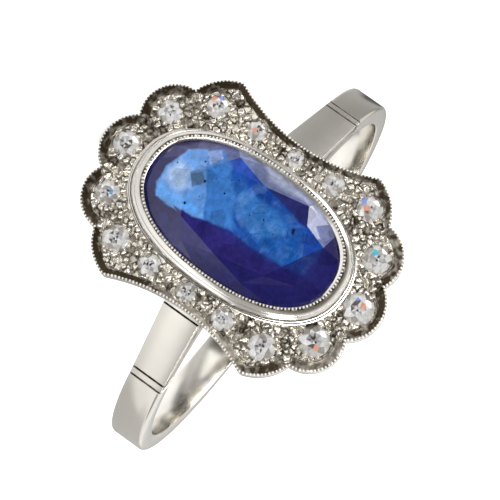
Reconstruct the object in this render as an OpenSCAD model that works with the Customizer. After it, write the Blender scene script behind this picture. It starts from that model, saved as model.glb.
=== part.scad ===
// Dress ring with an oval sapphire in a millegrained collet, ringed by sixteen
// old-cut diamonds in a scalloped, waisted head. The pieces are worked out in the
// ring's own frame: the finger axis is Y, the head is up Z, and the middle of the
// finger hole is the origin. lay_on_side() then lays the whole ring down on its
// side, resting on the head's edge and on the foot of the band, with the floor at
// z = 0 and the middle of its outline over the origin.

/* [Band] */
// Radius of the finger hole
finger_r = 8.55; // [8.4:0.05:8.6]
// Thickness of the band
band_t = 0.9; // [0.8:0.05:1]
// Width of the band along the finger
band_w = 1.65; // [1.5:0.05:1.9]
// Rounding of the band's outer edges
band_edge_r = 0.15; // [0.1:0.05:0.25]

/* [Shoulders] */
// Angle from the head to where a shoulder leaves the band
shoulder_angle = 51; // [50:0.5:52]
// Width of a shoulder where it leaves the band
shoulder_w = 1.6; // [1.5:0.05:1.65]
// Width of a shoulder where it meets the head
shoulder_head_w = 1.85; // [1.7:0.05:2.1]
// Thickness of a shoulder
shoulder_t = 0.45; // [0.4:0.05:0.5]
// Width of each engraved line across a shoulder
groove_w = 0.09; // [0.06:0.01:0.12]
// Depth of each engraved line
groove_d = 0.07; // [0.04:0.01:0.1]
// Places of the engraved lines, measured up the shoulder from the band
groove_at = [0.05, 0.5, 4.75];

/* [Head] */
// Height of the head's underside above the ring's centre
head_z = 9.75; // [9.7:0.05:9.8]
// Thickness of the head's floor
floor_t = 0.5; // [0.4:0.05:0.55]
// Height of the raised field above the head's floor
field_h = 0.2; // [0.15:0.05:0.25]
// Height of the thin outer wall above the head's floor
wall_h = 0.36; // [0.3:0.02:0.45]
// Thickness of the thin outer wall
wall_t = 0.12; // [0.1:0.01:0.15]
// Width of the bright-cut channel inside the outer wall
channel_w = 0.28; // [0.24:0.02:0.32]
// Half-width of the head at its waist
waist_x = 4.2; // [4.15:0.05:4.3]
// Radius of the waist's hollow curve
waist_r = 8.1; // [7.8:0.1:8.6]
// Rounding of the head's four corners
corner_r = 0.4; // [0.3:0.05:0.45]

/* [Collet] */
// Half-length of the opening that shows the sapphire
opening_l = 4.57; // [4.5:0.01:4.6]
// Half-width of the opening
opening_w = 2.7; // [2.65:0.01:2.72]
// How square the oval is, where 2 is an ellipse
oval_power = 2.3; // [2.2:0.05:2.4]
// Height of the sapphire's girdle above the ring's centre
girdle_z = 10.95; // [10.92:0.01:10.98]

/* [Sapphire] */
// Half-length of the sapphire
sapphire_l = 4.7; // [4.67:0.01:4.71]
// Half-width of the sapphire
sapphire_w = 2.8; // [2.77:0.01:2.81]
// Height of the sapphire's crown
crown_h = 0.8; // [0.6:0.05:0.9]
// Depth of the sapphire's pavilion
pavilion_h = 1.95; // [1.8:0.05:2]

/* [Diamonds] */
// Height of a diamond's crown for each millimetre of its width
diamond_crown = 0.19; // [0.16:0.01:0.22]
// Depth of a diamond's pavilion for each millimetre of its width
diamond_pavilion = 0.42; // [0.38:0.01:0.43]
// Gap between a stone and its seat
seat_gap = 0.03; // [0.02:0.005:0.04]
// Width of the metal left round each diamond
pad_w = 0.12; // [0.1:0.01:0.14]

/* [Hidden] */
$fn = 96;
waist_fn = 384;
seat_fn = 48;
edge_fn = 32;
// How far cutting shapes run past the metal that they cut
over = 1;
// Each diamond's place across the ring, place along the finger, and width.
// The rows run round the head from the scallop above the band's upper edge. The
// stones were set by hand, so none stands quite on the mirrored place of another.
COL_X = 0;
COL_Y = 1;
COL_D = 2;
DIAMONDS = [
    [3.54, 3.78, 1.0],
    [2.2, 5.28, 1.06],
    [0.06, 5.98, 1.14],
    [-2.08, 5.38, 1.06],
    [-3.42, 3.95, 1.16],
    [-3.52, 2.15, 1.0],
    [-3.52, 0.25, 0.9],
    [-3.58, -1.65, 1.0],
    [-3.58, -3.62, 1.2],
    [-2.12, -5.23, 1.36],
    [0.02, -5.92, 1.36],
    [2.16, -5.32, 1.24],
    [3.7, -3.86, 1.12],
    [3.62, -2.05, 0.98],
    [3.58, -0.12, 0.8],
    [3.66, 1.88, 0.88]
];
// Each scallop's centre across the ring, centre along the finger, and radius,
// for one quarter of the head. The others mirror it.
COL_R = 2;
SCALLOPS = [
    [0, 5.34, 1.66],
    [2.05, 4.92, 1.52],
    [2.92, 2.94, 2.13]
];
// Each cusp between scallops, where a pad of metal joins the field to the wall
CUSP_PADS = [[1.27, 5.92], [3.3, 4.67]];
cusp_pad_r = 0.3;
// Plain block that fills the head between its scallops, by two corners of a quarter
CORE = [[4.6, 3.4], [1.9, 5]];
// Collet's outer shape from its foot to its lip: height, half-length, half-width
COL_Z = 0;
COL_HALF_L = 1;
COL_HALF_W = 2;
COLLET = [
    [8.9, 3.7, 1.8],
    [9.75, 4.7, 2.65],
    [10.4, 5.22, 3.12],
    [10.62, 5.22, 3.12],
    [10.62, 5.13, 3.07],
    [10.78, 5.13, 3.07],
    [10.78, 5.05, 3.03],
    [10.98, 5.0, 3.0],
    [11.16, 4.88, 2.91],
    [11.28, 4.72, 2.82]
];
// Collet's hollow in the same columns: culet window, tube, seat, lip, opening
sapphire_edge = 0.12;
seat_l = sapphire_l + seat_gap;
seat_w = sapphire_w + seat_gap;
lip_rise = 0.15;
HOLLOW = [
    [8.3, 3.1, 1.25],
    [9.5, 4.1, 2.1],
    [10.3, 4.32, 2.42],
    [girdle_z - sapphire_edge - seat_gap, seat_l, seat_w],
    [girdle_z + 2 * seat_gap, seat_l, seat_w],
    [girdle_z + lip_rise, opening_l, opening_w],
    [girdle_z + over, opening_l, opening_w]
];
oval_steps = 40;
// Cut of the sapphire, as shares of its half-width: table, star points, and the
// heights and sizes of the stepped pavilion below the girdle
sapphire_table = 0.62;
sapphire_star = 0.78;
COL_DROP = 0;
COL_SHARE = 1;
PAVILION_STEPS = [[0.38, 0.78], [0.74, 0.46], [1, 0.12]];
// Cut of a diamond in the same shares, and the height of its girdle
girdle_edge = 0.04;
diamond_table = 0.5;
diamond_star = 0.72;
diamond_culet = 0.08;
diamond_lower = 0.34;
mains = 8;
main_turn = 360 / mains;
// How far the seats run, and their shape, as shares of a diamond's radius
window_share = 0.45;
seat_depth_share = 0.6;

// Heights in the ring's own frame, from the middle of the finger hole
band_r = finger_r + band_t;
floor_z = head_z + floor_t;
field_z = floor_z + field_h;
wall_z = floor_z + wall_h;
diamond_sink = 0.02;
diamond_z = field_z - diamond_sink;
tip_y = SCALLOPS[0][COL_Y] + SCALLOPS[0][COL_R];
waist_c = waist_x + waist_r;
// Place where a shoulder leaves the band, and its slope
leave_x = band_r * sin(shoulder_angle);
leave_z = band_r * cos(shoulder_angle);
shoulder_top_z = head_z + 0.6 * floor_t;
shoulder_l = (shoulder_top_z - leave_z) / sin(shoulder_angle) + over;
// Lean of the ring on its side: the plane that touches the head's lower edge and
// the rounded foot of the band. The solution of a cos(t) - b sin(t) = edge
lean_a = tip_y - (band_w / 2 - band_edge_r);
lean_b = head_z + band_r - band_edge_r;
lean = acos(band_edge_r / norm([lean_a, lean_b])) - atan2(lean_b, lean_a);
rest_z = tip_y * cos(lean) - head_z * sin(lean);
front = tip_y * sin(lean) + wall_z * cos(lean);
back = (band_w / 2 - band_edge_r) * sin(lean) + (band_r - band_edge_r) * cos(lean) + band_edge_r;

function two_digits(n) = n < 10 ? str("0", n) : str(n);
function diamond_name(i) = str("diamond_", two_digits(i + 1));

// Point of a squared oval at an angle
function oval_reach(a) = pow(pow(abs(cos(a)), oval_power) + pow(abs(sin(a)), oval_power), -1 / oval_power);
function oval_loop(half_l, half_w, z, n) = [
    for (i = [0 : n - 1]) let (a = 360 * i / n, reach = oval_reach(a))
        [half_w * reach * cos(a), half_l * reach * sin(a), z]
];

// Where two circles cross, on the side that turns left from the first to the second
function circles_meet(c1, r1, c2, r2) =
    let (
        d = norm(c2 - c1),
        along = (r1 * r1 - r2 * r2 + d * d) / (2 * d),
        up = sqrt(r1 * r1 - along * along),
        u = (c2 - c1) / d
    )
    c1 + along * u + up * [-u[1], u[0]];

// Lays the ring down on its side, with its face to the front
module lay_on_side() {
    translate([0, (front - back) / 2, rest_z])
        rotate([0, 0, 180])
            rotate([lean - 90, 0, 0])
                children();
}

// Four copies, one in each quarter of the head
module each_quarter() {
    for (sx = [0, 1], sy = [0, 1])
        mirror([sx, 0])
            mirror([0, sy])
                children();
}

// Closed solid through a stack of ovals, each row a height, half-length and half-width
module oval_stack(rows) {
    n = oval_steps;
    points = [for (row = rows) each oval_loop(row[COL_HALF_L], row[COL_HALF_W], row[COL_Z], n)];
    last = (len(rows) - 1) * n;
    bottom = [[for (i = [0 : n - 1]) i]];
    top = [[for (i = [n - 1 : -1 : 0]) last + i]];
    sides = [
        for (k = [0 : len(rows) - 2], i = [0 : n - 1])
            let (j = (i + 1) % n, low = k * n, high = (k + 1) * n)
                each [[low + i, high + i, high + j], [low + i, high + j, low + j]]
    ];
    polyhedron(points, concat(bottom, sides, top));
}

// Half of a stone cut with a flat, a star of kites and a rim of triangles, in a
// unit circle: the ring of the flat, the ring of star points, then the girdle
function cut_half(flat_r, star_r, height, square_reach) =
    let (slope = height / (1 - flat_r), half_turn = main_turn / 2)
    concat(
        [for (k = [0 : mains - 1]) [flat_r * cos(k * main_turn), flat_r * sin(k * main_turn), height]],
        [
            for (k = [0 : mains - 1]) let (a = (k + 0.5) * main_turn)
                [star_r * cos(a), star_r * sin(a), slope * (1 - star_r * cos(half_turn))]
        ],
        [
            for (i = [0 : 2 * mains - 1])
                let (a = i * half_turn, reach = square_reach ? oval_reach(a) : 1)
                    [reach * cos(a), reach * sin(a), i % 2 == 0 ? slope * (1 - reach) : 0]
        ]
    );

// Faces of such a half, with its points numbered from a first one
function half_faces(first) = [
    [for (k = [mains - 1 : -1 : 0]) first + k],
    for (k = [0 : mains - 1])
        let (
            next = (k + 1) % mains,
            star = first + mains + k,
            star_before = first + mains + (k + mains - 1) % mains,
            rim = first + 2 * mains
        )
            each [
                [first + k, first + next, star],
                [first + k, star, rim + 2 * k, star_before],
                [star, rim + 2 * k + 1, rim + 2 * k],
                [star, rim + 2 * next, rim + 2 * k + 1]
            ]
];

function turned_over(faces) = [for (f = faces) [for (i = [len(f) - 1 : -1 : 0]) f[i]]];
function walls_between(upper, lower, n) = [
    for (i = [0 : n - 1]) let (j = (i + 1) % n) [upper + i, upper + j, lower + j, lower + i]
];

// Round brilliant-style diamond with an old cut's small table and open culet
module diamond(row) {
    r = row[COL_D] / 2;
    crown = cut_half(diamond_table, diamond_star, diamond_crown * row[COL_D], false);
    pavilion = cut_half(diamond_culet, diamond_lower, diamond_pavilion * row[COL_D], false);
    n = len(crown);
    rim = 2 * mains;
    points = concat(
        [for (p = crown) [r * p[0], r * p[1], p[2]]],
        [for (p = pavilion) [r * p[0], r * p[1], -p[2] - girdle_edge]]
    );
    faces = concat(half_faces(0), turned_over(half_faces(n)), walls_between(rim, n + rim, rim));
    color([0.93, 0.95, 0.97])
        lay_on_side()
            translate([row[COL_X], row[COL_Y], diamond_z])
                polyhedron(points, faces);
}

// Oval mixed-cut sapphire: a kite-cut crown over a stepped pavilion
module sapphire() {
    crown = cut_half(sapphire_table, sapphire_star, crown_h, true);
    n = len(crown);
    rim = 2 * mains;
    girdle = [for (i = [rim : n - 1]) [crown[i][0], crown[i][1]]];
    steps = concat([[0, 1]], PAVILION_STEPS);
    below_edge = pavilion_h - sapphire_edge;
    points = concat(
        [for (p = crown) [sapphire_w * p[0], sapphire_l * p[1], p[2]]],
        [
            for (s = steps, g = girdle)
                let (w = sapphire_w * s[COL_SHARE], l = sapphire_l * s[COL_SHARE])
                    [w * g[0], l * g[1], -sapphire_edge - s[COL_DROP] * below_edge]
        ]
    );
    last = n + (len(steps) - 1) * rim;
    faces = concat(
        half_faces(0),
        walls_between(rim, n, rim),
        [for (k = [0 : len(steps) - 2]) each walls_between(n + k * rim, n + (k + 1) * rim, rim)],
        [[for (i = [0 : rim - 1]) last + i]]
    );
    color([0.06, 0.12, 0.5])
        lay_on_side()
            translate([0, 0, girdle_z])
                polyhedron(points, faces);
}

// Plain hoop round the finger, with its outer edges softly rounded
module band() {
    rotate([90, 0, 0])
        rotate_extrude() {
            translate([finger_r, -band_w / 2])
                square([band_t - band_edge_r, band_w]);
            translate([finger_r, band_edge_r - band_w / 2])
                square([band_t, band_w - 2 * band_edge_r]);
            for (side = [-1, 1])
                translate([band_r - band_edge_r, side * (band_w / 2 - band_edge_r)])
                    circle(r = band_edge_r, $fn = edge_fn);
        }
}

// Frame of a shoulder: X runs up the shoulder from the band, Z runs into the metal
module on_shoulder(side) {
    mirror([side < 0 ? 1 : 0, 0, 0])
        translate([leave_x, 0, leave_z])
            rotate([0, 180 + shoulder_angle, 0])
                children();
}

// Flat strip that leaves the band and rises to the head, with a slit under it
module shoulder(side) {
    difference() {
        on_shoulder(side)
            linear_extrude(shoulder_t)
                polygon([
                    [0, -shoulder_w / 2],
                    [shoulder_l, -shoulder_head_w / 2],
                    [shoulder_l, shoulder_head_w / 2],
                    [0, shoulder_w / 2]
                ]);
        translate([-band_r, -band_r, shoulder_top_z])
            cube([2 * band_r, 2 * band_r, band_r]);
    }
}

// Engraved lines across a shoulder, turned down over both of its sides
module engraved_lines(side) {
    on_shoulder(side)
        for (at = groove_at)
            difference() {
                translate([at, -band_w, -over])
                    cube([groove_w, 2 * band_w, over + shoulder_t]);
                translate([at - groove_w, groove_d - band_w / 2, groove_d])
                    cube([3 * groove_w, band_w - 2 * groove_d, shoulder_t]);
            }
}

// Head's outline drawn in by a distance: scallops at the ends, hollow waist, round corners
module head_outline(inset) {
    third = SCALLOPS[2];
    third_c = [third[COL_X], third[COL_Y]];
    corner = circles_meet(third_c, third[COL_R] - corner_r, [waist_c, 0], waist_r + corner_r);
    to_scallop = (corner - third_c) / norm(corner - third_c);
    to_waist = ([waist_c, 0] - corner) / norm([waist_c, 0] - corner);
    difference() {
        union() {
            each_quarter()
                for (s = SCALLOPS)
                    translate([s[COL_X], s[COL_Y]])
                        circle(r = s[COL_R] - inset);
            each_quarter()
                polygon([
                    [0, 0],
                    [CORE[0][COL_X] - inset, 0],
                    CORE[0] - [inset, inset],
                    CORE[1] - [inset, inset],
                    [0, CORE[1][COL_Y] - inset]
                ]);
        }
        for (side = [-1, 1])
            translate([side * waist_c, 0])
                circle(r = waist_r + inset, $fn = waist_fn);
        if (inset < corner_r)
            each_quarter()
                difference() {
                    polygon([
                        corner,
                        corner + 2 * corner_r * to_waist,
                        corner + 3 * corner_r * (to_waist + to_scallop),
                        corner + 2 * corner_r * to_scallop
                    ]);
                    translate(corner)
                        circle(r = corner_r - inset);
                }
    }
}

// Raised field that the diamonds sit in, with a pad round each and at each cusp
module field_outline() {
    head_outline(wall_t + channel_w);
    for (d = DIAMONDS)
        translate([d[COL_X], d[COL_Y]])
            circle(r = d[COL_D] / 2 + pad_w);
    each_quarter()
        for (p = CUSP_PADS)
            translate(p)
                circle(r = cusp_pad_r);
}

// Scalloped head: floor, thin outer wall, and the field inside its channel
module head() {
    translate([0, 0, head_z])
        linear_extrude(floor_t)
            head_outline(0);
    translate([0, 0, head_z])
        linear_extrude(wall_z - head_z)
            difference() {
                head_outline(0);
                head_outline(wall_t);
            }
    translate([0, 0, head_z])
        linear_extrude(field_z - head_z)
            intersection() {
                field_outline();
                head_outline(wall_t / 2);
            }
}

// Seat of a diamond: a straight wall at its edge, a cone under it and a window
module seat(row) {
    r = row[COL_D] / 2;
    window_r = window_share * r;
    depth = seat_depth_share * diamond_pavilion * row[COL_D];
    edge_z = diamond_z - girdle_edge - seat_gap;
    translate([row[COL_X], row[COL_Y], 0]) {
        translate([0, 0, edge_z])
            cylinder(r = r + seat_gap, h = wall_z - edge_z, $fn = seat_fn);
        translate([0, 0, edge_z - depth])
            cylinder(r1 = window_r, r2 = r + seat_gap, h = depth, $fn = seat_fn);
        translate([0, 0, head_z - over])
            cylinder(r = window_r, h = floor_t + over, $fn = seat_fn);
    }
}

// All the soldered metal: band, shoulders, head and collet in one
module mount() {
    color([0.8, 0.79, 0.77])
        lay_on_side()
            difference() {
                union() {
                    difference() {
                        union() {
                            band();
                            for (side = [-1, 1])
                                shoulder(side);
                        }
                        for (side = [-1, 1])
                            engraved_lines(side);
                    }
                    difference() {
                        head();
                        for (d = DIAMONDS)
                            seat(d);
                    }
                    oval_stack(COLLET);
                }
                oval_stack(HOLLOW);
            }
}

mount();
sapphire();
for (i = [0 : len(DIAMONDS) - 1])
    diamond(DIAMONDS[i]);
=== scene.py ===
# %% [markdown]
# # A sapphire and diamond ring
# An oval sapphire sits in a milled collet, inside a scalloped head with sixteen
# old-cut diamonds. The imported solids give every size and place. This lesson dresses
# them: it lofts the metal with soft edges, grows the grains that hold the stones,
# and mixes the metal and the gems.
# We start by loading the frame, because everything else is placed by it.

# %% Load the frame
import math
import random

import bpy
import numpy as np
from mathutils import Euler, Matrix, Vector
from mathutils.geometry import delaunay_2d_cdt


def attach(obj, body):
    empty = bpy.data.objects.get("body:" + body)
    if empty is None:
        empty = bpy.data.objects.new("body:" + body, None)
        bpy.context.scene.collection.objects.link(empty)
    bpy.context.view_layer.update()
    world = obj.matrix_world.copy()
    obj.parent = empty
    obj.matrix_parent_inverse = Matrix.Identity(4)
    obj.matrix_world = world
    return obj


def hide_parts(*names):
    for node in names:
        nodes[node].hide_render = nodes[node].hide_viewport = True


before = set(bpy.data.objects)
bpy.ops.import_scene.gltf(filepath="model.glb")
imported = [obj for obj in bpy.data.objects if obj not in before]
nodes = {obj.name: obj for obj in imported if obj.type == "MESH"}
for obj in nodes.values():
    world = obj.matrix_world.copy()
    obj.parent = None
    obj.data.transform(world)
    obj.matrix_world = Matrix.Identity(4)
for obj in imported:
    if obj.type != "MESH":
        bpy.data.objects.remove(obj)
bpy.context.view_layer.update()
print("CAD nodes:", len(nodes))

# %% [markdown]
# ## One frame for the jeweller, one for the shelf
# A jeweller thinks of a ring upright: X across the head, Y along the finger, Z
# through the head, in millimetres. The part lies on its side, in metres. It could
# all be drawn lying down, but then every outline would be a slanted one. So each
# piece is drawn upright, and one matrix lays its mesh down at the end.

# %% Sizes of the metal, in millimetres
MM = 0.001
finger_r = 8.55
band_t = 0.9
band_w = 1.65
band_edge_r = 0.15
band_r = finger_r + band_t
head_z = 9.75
field_z = 10.45
wall_z = 10.61
wall_t = 0.12
waist_x = 4.2
waist_r = 8.1
corner_r = 0.4
SCALLOPS = [(0, 5.34, 1.66), (2.05, 4.92, 1.52), (2.92, 2.94, 2.13)]
tip_y = SCALLOPS[0][1] + SCALLOPS[0][2]

# %% Sizes of the stones, in millimetres
girdle_z = 10.95
sapphire_l = 4.7
sapphire_w = 2.8
oval_power = 2.3
diamond_z = field_z - 0.02
DIAMONDS = [
    (3.54, 3.78, 1.0),
    (2.2, 5.28, 1.06),
    (0.06, 5.98, 1.14),
    (-2.08, 5.38, 1.06),
    (-3.42, 3.95, 1.16),
    (-3.52, 2.15, 1.0),
    (-3.52, 0.25, 0.9),
    (-3.58, -1.65, 1.0),
    (-3.58, -3.62, 1.2),
    (-2.12, -5.23, 1.36),
    (0.02, -5.92, 1.36),
    (2.16, -5.32, 1.24),
    (3.7, -3.86, 1.12),
    (3.62, -2.05, 0.98),
    (3.58, -0.12, 0.8),
    (3.66, 1.88, 0.88),
]

# %% The matrix that lays the ring on its side
# The plane it rests on touches the head's edge and the rounded foot of the band.
lean_a = tip_y - (band_w / 2 - band_edge_r)
lean_b = head_z + band_r - band_edge_r
lean = math.acos(band_edge_r / math.hypot(lean_a, lean_b)) - math.atan2(lean_b, lean_a)
rest_z = tip_y * math.cos(lean) - head_z * math.sin(lean)
front = tip_y * math.sin(lean) + wall_z * math.cos(lean)
back = (
    (band_w / 2 - band_edge_r) * math.sin(lean)
    + (band_r - band_edge_r) * math.cos(lean)
    + band_edge_r
)
lie_place = Vector((0, (front - back) / 2, rest_z)) * MM
lie_turn = Euler((lean - math.pi / 2, 0, math.pi), "XYZ")
LAY_DOWN = Matrix.Translation(lie_place) @ lie_turn.to_matrix().to_4x4() @ Matrix.Scale(MM, 4)
print("lean in degrees:", round(math.degrees(lean), 2))

# %% [markdown]
# ## The camera
# The camera goes where the photograph was taken from, a long lens close to the
# ring. It is aimed at a point on the head and rolled, because the ring runs from
# one corner of the picture to the other.

# %% Camera
view_azimuth = math.radians(7.87)
view_elevation = math.radians(25.55)
view_roll = math.radians(122.99)
view_distance = 0.10978
view_aim = Vector((0.556, -7.944, 7.588)) * MM
camera_data = bpy.data.cameras.new("camera")
camera_data.lens = 191.4
camera_data.sensor_width = 36
camera_data.clip_start = 0.005
camera = bpy.data.objects.new("camera", camera_data)
bpy.context.scene.collection.objects.link(camera)
toward = Vector((
    math.cos(view_elevation) * math.sin(view_azimuth),
    -math.cos(view_elevation) * math.cos(view_azimuth),
    math.sin(view_elevation),
))
turn = (
    Matrix.Rotation(view_azimuth, 4, "Z")
    @ Matrix.Rotation(math.pi / 2 - view_elevation, 4, "X")
    @ Matrix.Rotation(view_roll, 4, "Z")
)
camera.matrix_world = Matrix.Translation(view_aim + view_distance * toward) @ turn
bpy.context.scene.camera = camera
print("camera at", [round(c, 4) for c in camera.matrix_world.translation])

# %% [markdown]
# ## Small helpers
# Most of the metal is a skin stretched over rows of points, so one helper joins
# rows into faces, another closes a tube at both ends, and a third makes a
# finished piece of them.

# %% Skins and pieces
def skin(rows, closed=False):
    """Faces between rows of equal length; closed also joins the last row to the first."""
    count = len(rows[0])
    points = [p for row in rows for p in row]
    faces = []
    for k in range(len(rows) if closed else len(rows) - 1):
        low = k * count
        high = (k + 1) % len(rows) * count
        for i in range(count):
            j = (i + 1) % count
            faces.append((low + i, low + j, high + j, high + i))
    return points, faces


def tube(rows, flip):
    """A skin closed at both ends, turned inside out where its rows run the other way."""
    points, faces = skin(rows)
    count = len(rows[0])
    faces.append(tuple(range(count - 1, -1, -1)))
    faces.append(tuple(range(len(points) - count, len(points))))
    return points, [f[::-1] for f in faces] if flip else faces


def add_mesh(name, points, edges=(), faces=()):
    mesh = bpy.data.meshes.new(name)
    mesh.from_pydata([tuple(p) for p in points], edges, [tuple(f) for f in faces])
    return mesh


def add_object(name, data):
    obj = bpy.data.objects.new(name, data)
    bpy.context.scene.collection.objects.link(obj)
    return obj


def piece(name, points, faces, material, slot="white_metal", smooth_angle=35):
    """A finished mesh object from points drawn upright in millimetres."""
    mesh = add_mesh(name, points, faces=faces)
    mesh.transform(LAY_DOWN)
    return finish_piece(name, mesh, material, slot, smooth_angle)


def finish_piece(name, mesh, material, slot, smooth_angle):
    mesh.materials.clear()
    mesh.materials.append(material)
    mesh.shade_smooth()
    mesh.set_sharp_from_angle(angle=math.radians(smooth_angle))
    obj = add_object(name, mesh)
    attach(obj, "root")
    print(f"{name}: {len(mesh.polygons)} faces")
    return obj


def paint(obj, name, values, kind="FLOAT", domain="POINT"):
    """Keep a value of each point, or a colour of each face, for the material to read."""
    layer = obj.data.attributes.new(name, kind, domain)
    layer.data.foreach_set("value" if kind == "FLOAT" else "color", np.ravel(values))


def arc(centre, radius, start, end, count):
    """Points along an arc in the plane, angles in radians, both ends included."""
    return [
        (centre[0] + radius * math.cos(a), centre[1] + radius * math.sin(a))
        for a in np.linspace(start, end, count)
    ]


# %% [markdown]
# ## Colour that knows where it is
# Every finish reads Object coordinates. A Mapping node turns them back into the
# upright frame in millimetres, so that a pattern can be described as a jeweller
# would, and it stays on the metal when the ring is seen from elsewhere. Most of
# the helpers below make one node and give back its output.

# %% Material helpers
def new_material(name, **values):
    """A material with its tree and its shader, and constants by the shader's socket names."""
    material = bpy.data.materials.new(name)
    material.use_nodes = True
    shader = material.node_tree.nodes["Principled BSDF"]
    for socket, value in values.items():
        shader.inputs[socket.replace("_", " ")].default_value = value
    return material, material.node_tree, shader


def add_node(tree, kind, inputs=None, **settings):
    """A node whose inputs are values, or other nodes' outputs to link."""
    node = tree.nodes.new(kind)
    for key, value in settings.items():
        setattr(node, key, value)
    for key, value in (inputs or {}).items():
        if isinstance(value, bpy.types.NodeSocket):
            tree.links.new(value, node.inputs[key])
        else:
            node.inputs[key].default_value = value
    return node


def upright(tree, what="Object"):
    """Object coordinates in millimetres, or normals, in the jeweller's frame."""
    inputs = {"Vector": add_node(tree, "ShaderNodeTexCoord").outputs[what], "Rotation": lie_turn}
    if what == "Object":
        inputs.update({"Location": lie_place, "Scale": (MM, MM, MM)})
    return add_node(tree, "ShaderNodeMapping", inputs, vector_type="TEXTURE").outputs["Vector"]


def math_node(tree, operation, a, b=0.0, c=0.0, clamp=False):
    inputs = {0: a, 1: b, 2: c}
    return add_node(tree, "ShaderNodeMath", inputs, operation=operation, use_clamp=clamp).outputs[0]


def vector_math(tree, operation, a, b=(0, 0, 0), scale=1.0):
    """A vector, or a number where the operation gives one."""
    inputs = {0: a, 1: b, 3: scale}
    node = add_node(tree, "ShaderNodeVectorMath", inputs, operation=operation)
    return node.outputs[int(operation in ("DOT_PRODUCT", "LENGTH", "DISTANCE"))]


def map_range(tree, value, start, stop, first=0.0, last=1.0, smooth=False):
    """Carries start to first and stop to last, and stays there beyond them."""
    inputs = {"Value": value, "From Min": start, "From Max": stop, "To Min": first, "To Max": last}
    kind = "SMOOTHSTEP" if smooth else "LINEAR"
    return add_node(tree, "ShaderNodeMapRange", inputs, interpolation_type=kind).outputs[0]


def mix(tree, factor, a, b, kind="RGBA"):
    """Between two colours, or two numbers where the kind is FLOAT."""
    first = 6 if kind == "RGBA" else 2
    inputs = {0: factor, first: a, first + 1: b}
    return add_node(tree, "ShaderNodeMix", inputs, data_type=kind).outputs[first // 3]


def noise(tree, vector, scale, detail, roughness=0.5, distortion=0.0, out="Fac"):
    inputs = {"Vector": vector, "Scale": scale, "Detail": detail}
    inputs.update({"Roughness": roughness, "Distortion": distortion})
    return add_node(tree, "ShaderNodeTexNoise", inputs).outputs[out]


def painted(tree, name, out="Color"):
    """What paint kept on the mesh under this name."""
    return add_node(tree, "ShaderNodeAttribute", attribute_name=name).outputs[out]


# %% [markdown]
# ### Wear, as one shared group
# Old platinum is bright but never perfect: it has hairline scratches, soft dull
# patches and a faint unevenness that bends reflections. All metal finishes share
# these, in different amounts, so they are one node group with named inputs.

# %% Wear group
def wear_group():
    group = bpy.data.node_groups.new("Metal wear", "ShaderNodeTree")
    face = group.interface
    face.new_socket("Vector", in_out="INPUT", socket_type="NodeSocketVector")
    for name, value in (("Polish", 0.08), ("Dullness", 0.1), ("Scratch", 0.3), ("Waviness", 0.2)):
        socket = face.new_socket(name, in_out="INPUT", socket_type="NodeSocketFloat")
        socket.default_value = value
    for name in ("Roughness", "Height"):
        face.new_socket(name, in_out="OUTPUT", socket_type="NodeSocketFloat")
    start = group.nodes.new("NodeGroupInput").outputs
    end = group.nodes.new("NodeGroupOutput").inputs
    place = start["Vector"]
    streaks = add_node(group, "ShaderNodeMapping", {"Vector": place, "Scale": (3.0, 40.0, 3.0)})
    hair = noise(group, streaks.outputs[0], 2.0, 3.0, roughness=0.7)
    scratched = math_node(group, "MULTIPLY", hair, start["Scratch"])
    dull = math_node(group, "MULTIPLY", noise(group, place, 1.7, 4.0), start["Dullness"])
    dull = math_node(group, "ADD", start["Polish"], dull)
    wave = math_node(group, "MULTIPLY", noise(group, place, 0.9, 1.0), start["Waviness"])
    group.links.new(math_node(group, "MULTIPLY_ADD", scratched, 0.12, dull), end["Roughness"])
    group.links.new(math_node(group, "MULTIPLY_ADD", scratched, 0.02, wave), end["Height"])
    return group


metal_wear = wear_group()

# %% [markdown]
# ### Grime and painted shade
# One dark brown paint stands for old dirt on some grains, and for painted shade in
# corners, cuts, grooves and hollows; it turns the metal brown and dull there. Each
# piece keeps an amount for each of its points, and a noise breaks it up into clots.

# %% Metal finishes
PLATINUM = (0.825, 0.80, 0.745, 1)
# Dark brown of dirt, and of painted shade in cuts, grooves and hollows.
GRIME_AND_SHADE = (0.06, 0.045, 0.026, 1)


def worn_metal(name, colour, polish, dullness, scratch, waviness, metallic):
    material, tree, shader = new_material(name, Metallic=metallic)
    place = upright(tree)
    values = {"Vector": place, "Polish": polish, "Dullness": dullness}
    values.update({"Scratch": scratch, "Waviness": waviness})
    wear = add_node(tree, "ShaderNodeGroup", values, node_tree=metal_wear).outputs
    clots = map_range(tree, noise(tree, place, 3.5, 4.0), 0.35, 0.62, 0.62, 1.15)
    # Dirt on some grains, and painted shade in cuts, grooves, slits and hollows, turn the metal
    # dark and dull.
    grime_and_shade = math_node(tree, "MULTIPLY", painted(tree, "grime_and_shade", "Fac"), clots, clamp=True)
    rough = math_node(tree, "MULTIPLY_ADD", grime_and_shade, 0.25, wear["Roughness"])
    lift = {"Height": wear["Height"], "Strength": 0.02, "Distance": MM}
    bump = add_node(tree, "ShaderNodeBump", lift)
    tree.links.new(mix(tree, grime_and_shade, colour, GRIME_AND_SHADE), shader.inputs["Base Color"])
    tree.links.new(rough, shader.inputs["Roughness"])
    tree.links.new(bump.outputs["Normal"], shader.inputs["Normal"])
    return material


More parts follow.
